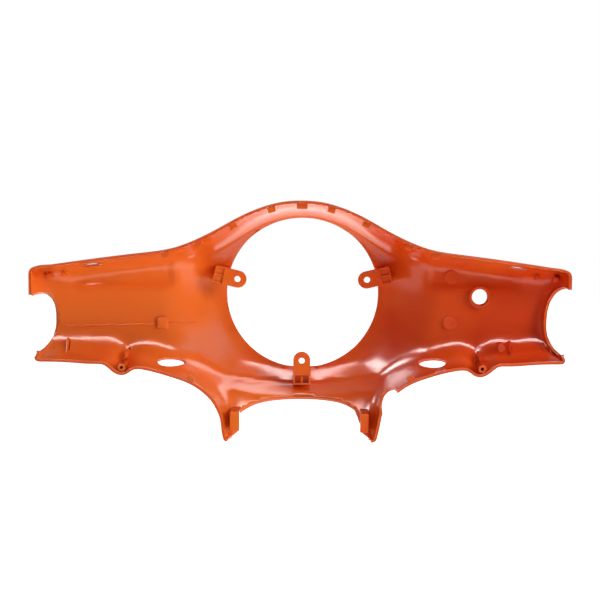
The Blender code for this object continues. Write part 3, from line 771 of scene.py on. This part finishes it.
def make_features(material):
    for side, angle in TAB_ANGLES.items():
        make_lamp_tab(side, angle, material)
    top, bottom_right, bottom_left = RIMS
    for name, (x, width) in TOP_CATCHES.items():
        make_catch(name, top, x, width, CATCH_REACH, material)
    for side, x, edge in (("left", -LOWER_CATCH_X, bottom_left), ("right", LOWER_CATCH_X, bottom_right)):
        make_catch("lower_" + side, edge[::-1], x, LOWER_CATCH_WIDTH, LOWER_CATCH_REACH, material)
        make_screw_boss(side, material)
        loop = rounded_box(*LEG_BLOCKS[side], radius=0.9)
        block = column("foot_block_" + side, [loop], LEG_BLOCK_REAR, sunk_foot, POST_ROUNDS, material)
        finish_piece(block, "leg_block_" + side)
    for name, (x, z, radius, height) in POSTS.items():
        finish_piece(standing(name + "_fine", oval(x, z, radius, radius, step=0.9), height, material), name)
    for name, (x, z, half_x, half_z, tilt, height) in RIBS.items():
        loop = rounded_box(x, z, half_x, half_z, tilt, 0.6)
        finish_piece(standing(name + "_fine", loop, height, material, follows=True), name)
    collar = [oval(SWITCH_HOLE["x"], SWITCH_HOLE["z"], r, r, step=0.9) for r in COLLAR_RADII]
    floor = floor_at(collar[0]).min()
    near, far = floor - COLLAR_HEIGHT, floor + FOOT_SINK
    ring = column("switch_collar_fine", collar, near, far, POST_ROUNDS, material)
    finish_piece(ring, "switch_collar_right")


# ---- materials --------------------------------------------------------------------------------------


def node(tree, kind, **inputs):
    made = tree.nodes.new(kind)
    for name, value in inputs.items():
        made.inputs[name.replace("_", " ")].default_value = value
    return made


def orange_plastic(name, roughness, specular, dark, light):
    """Glossy moulded orange plastic: slow drifts of colour, painted light that makes the left end paler,
    faint flow ripples, scuffs and dull dust.
    """
    material = bpy.data.materials.new(name)
    material.use_nodes = True
    tree = material.node_tree
    shader = tree.nodes["Principled BSDF"]
    link = tree.links.new
    place = tree.nodes.new("ShaderNodeTexCoord").outputs["Object"]

    drift = node(tree, "ShaderNodeTexNoise", Scale=9.0, Detail=3.0, Roughness=0.5)
    link(place, drift.inputs["Vector"])
    colour = tree.nodes.new("ShaderNodeValToRGB")
    colour.color_ramp.elements[0].position = 0.3
    colour.color_ramp.elements[1].position = 0.7
    colour.color_ramp.elements[0].color = (*dark, 1)
    colour.color_ramp.elements[1].color = (*light, 1)
    # Painted light: the random drift is pushed towards the light colour on the left and the dark one on the
    # right, standing in for the left wing catching more light.
    across = tree.nodes.new("ShaderNodeSeparateXYZ")
    link(place, across.inputs["Vector"])
    drift_and_painted_light = tree.nodes.new("ShaderNodeMath")
    drift_and_painted_light.operation = "MULTIPLY_ADD"
    drift_and_painted_light.inputs[1].default_value = -PAINTED_LIGHT_SLOPE
    link(across.outputs["X"], drift_and_painted_light.inputs[0])
    link(drift.outputs["Fac"], drift_and_painted_light.inputs[2])
    link(drift_and_painted_light.outputs["Value"], colour.inputs["Fac"])
    link(colour.outputs["Color"], shader.inputs["Base Color"])

    wear = node(tree, "ShaderNodeTexNoise", Scale=38.0, Detail=6.0, Roughness=0.62)
    link(place, wear.inputs["Vector"])
    dull = tree.nodes.new("ShaderNodeMapRange")
    dull.inputs["From Min"].default_value = 0.35
    dull.inputs["From Max"].default_value = 0.75
    dull.inputs["To Min"].default_value = roughness
    dull.inputs["To Max"].default_value = roughness + DULLEST
    link(wear.outputs["Fac"], dull.inputs["Value"])
    link(dull.outputs["Result"], shader.inputs["Roughness"])

    ripple = node(tree, "ShaderNodeTexNoise", Scale=55.0, Detail=2.0, Roughness=0.4)
    grain = node(tree, "ShaderNodeTexNoise", Scale=1400.0, Detail=1.0, Roughness=0.5)
    link(place, ripple.inputs["Vector"])
    link(place, grain.inputs["Vector"])
    broad = node(tree, "ShaderNodeBump", Strength=0.25, Distance=0.0004)
    fine = node(tree, "ShaderNodeBump", Strength=0.12, Distance=0.00005)
    link(ripple.outputs["Fac"], broad.inputs["Height"])
    link(grain.outputs["Fac"], fine.inputs["Height"])
    link(broad.outputs["Normal"], fine.inputs["Normal"])
    link(fine.outputs["Normal"], shader.inputs["Normal"])

    shader.inputs["IOR"].default_value = 1.5
    shader.inputs["Specular IOR Level"].default_value = specular
    shader.inputs["Coat Weight"].default_value = 0.0
    return material


# ---- stage ------------------------------------------------------------------------------------------


def make_camera():
    """A long lens, a little above the lamp's axis and a little to the rider's right of it."""
    azimuth, elevation = math.radians(CAMERA_AZIMUTH), math.radians(CAMERA_ELEVATION)
    target = Vector(CAMERA_TARGET)
    level = math.cos(elevation)
    back = Vector((math.sin(azimuth) * level, -math.cos(azimuth) * level, math.sin(elevation)))
    data = bpy.data.cameras.new("camera")
    data.sensor_width = 36.0
    data.lens = data.sensor_width * CAMERA_DISTANCE / VIEW_WIDTH
    camera = bpy.data.objects.new("camera", data)
    roll = Matrix.Rotation(math.radians(CAMERA_ROLL), 4, "Z")
    aim = back.to_track_quat("Z", "Y").to_matrix().to_4x4() @ roll
    camera.matrix_world = Matrix.Translation(target + back * CAMERA_DISTANCE) @ aim
    bpy.context.scene.collection.objects.link(camera)
    bpy.context.scene.camera = camera


def make_floor():
    """A broad flat white floor well below the cover."""
    half, near, level = 6.0, -1.5, -0.62
    corners = [(-half, near, level), (half, near, level), (half, half, level), (-half, half, level)]
    mesh = bpy.data.meshes.new("studio_floor")
    mesh.from_pydata(corners, [], [(0, 1, 2, 3)])
    material = bpy.data.materials.new("pale_floor")
    material.use_nodes = True
    shader = material.node_tree.nodes["Principled BSDF"]
    shader.inputs["Base Color"].default_value = (0.92, 0.92, 0.92, 1)
    shader.inputs["Roughness"].default_value = 0.9
    shader.inputs["Emission Color"].default_value = (1, 1, 1, 1)
    shader.inputs["Emission Strength"].default_value = FLOOR_GLOW
    mesh.materials.append(material)
    floor = bpy.data.objects.new("studio_floor", mesh)
    bpy.context.scene.collection.objects.link(floor)


def make_world():
    """A white studio: bright behind the cover, dimmer on the rider's side, and plain white where the camera
    sees it.
    """
    world = bpy.data.worlds.new("studio")
    bpy.context.scene.world = world
    world.use_nodes = True
    tree = world.node_tree
    link = tree.links.new
    background = tree.nodes["Background"]
    direction = tree.nodes.new("ShaderNodeTexCoord").outputs["Generated"]
    axes = tree.nodes.new("ShaderNodeSeparateXYZ")
    link(direction, axes.inputs["Vector"])
    forward = tree.nodes.new("ShaderNodeMapRange")
    forward.interpolation_type = "SMOOTHSTEP"
    forward.inputs["From Min"].default_value = -0.1
    forward.inputs["From Max"].default_value = 0.5
    forward.inputs["To Min"].default_value = ROOM_LIGHT
    forward.inputs["To Max"].default_value = BACKDROP_LIGHT
    link(axes.outputs["Y"], forward.inputs["Value"])
    seen = tree.nodes.new("ShaderNodeLightPath").outputs["Is Camera Ray"]
    strength = tree.nodes.new("ShaderNodeMix")
    strength.inputs["B"].default_value = 1.0
    link(seen, strength.inputs["Factor"])
    link(forward.outputs["Result"], strength.inputs["A"])
    link(strength.outputs["Result"], background.inputs["Strength"])
    background.inputs["Color"].default_value = (1, 1, 1, 1)


def make_softbox(name, place, aim, size, power, diffuse, glossy):
    data = bpy.data.lights.new(name, "AREA")
    data.shape = "RECTANGLE"
    data.size, data.size_y = size
    data.energy = power
    lamp = bpy.data.objects.new(name, data)
    direction = Vector(aim) - Vector(place)
    lamp.matrix_world = Matrix.Translation(place) @ direction.to_track_quat("-Z", "Y").to_matrix().to_4x4()
    lamp.visible_camera = False
    lamp.visible_diffuse = diffuse
    lamp.visible_glossy = glossy
    bpy.context.scene.collection.objects.link(lamp)


inside_plastic = orange_plastic("orange_plastic_inside", **INSIDE_PLASTIC)
outside_plastic = orange_plastic("orange_plastic_outside", **OUTSIDE_PLASTIC)

inner, outer, shell_faces = shell_mesh()
plastics = [inside_plastic, outside_plastic]
skin = rounded_solid("cover_skin", inner, outer, shell_faces, SHELL_ROUNDS, plastics)
finish_piece(skin, "shell_wing_left", "shell_wing_right", "shell_lamp_hood", "shell_chin")
INNER_FACE = tree_of(inner, shell_faces)
make_features(inside_plastic)

make_world()
make_floor()
make_camera()
for name, (direction, reach, size, power) in SOFTBOXES.items():
    place = Vector(direction).normalized() * reach
    make_softbox(name, place, LIT_POINT, size, power, diffuse=True, glossy=False)
for name, (direction, reach, size, power) in CARDS.items():
    place = Vector(direction).normalized() * reach
    make_softbox(name, place, LIT_POINT, size, power, diffuse=False, glossy=True)
bpy.context.scene.view_settings.view_transform = "Standard"
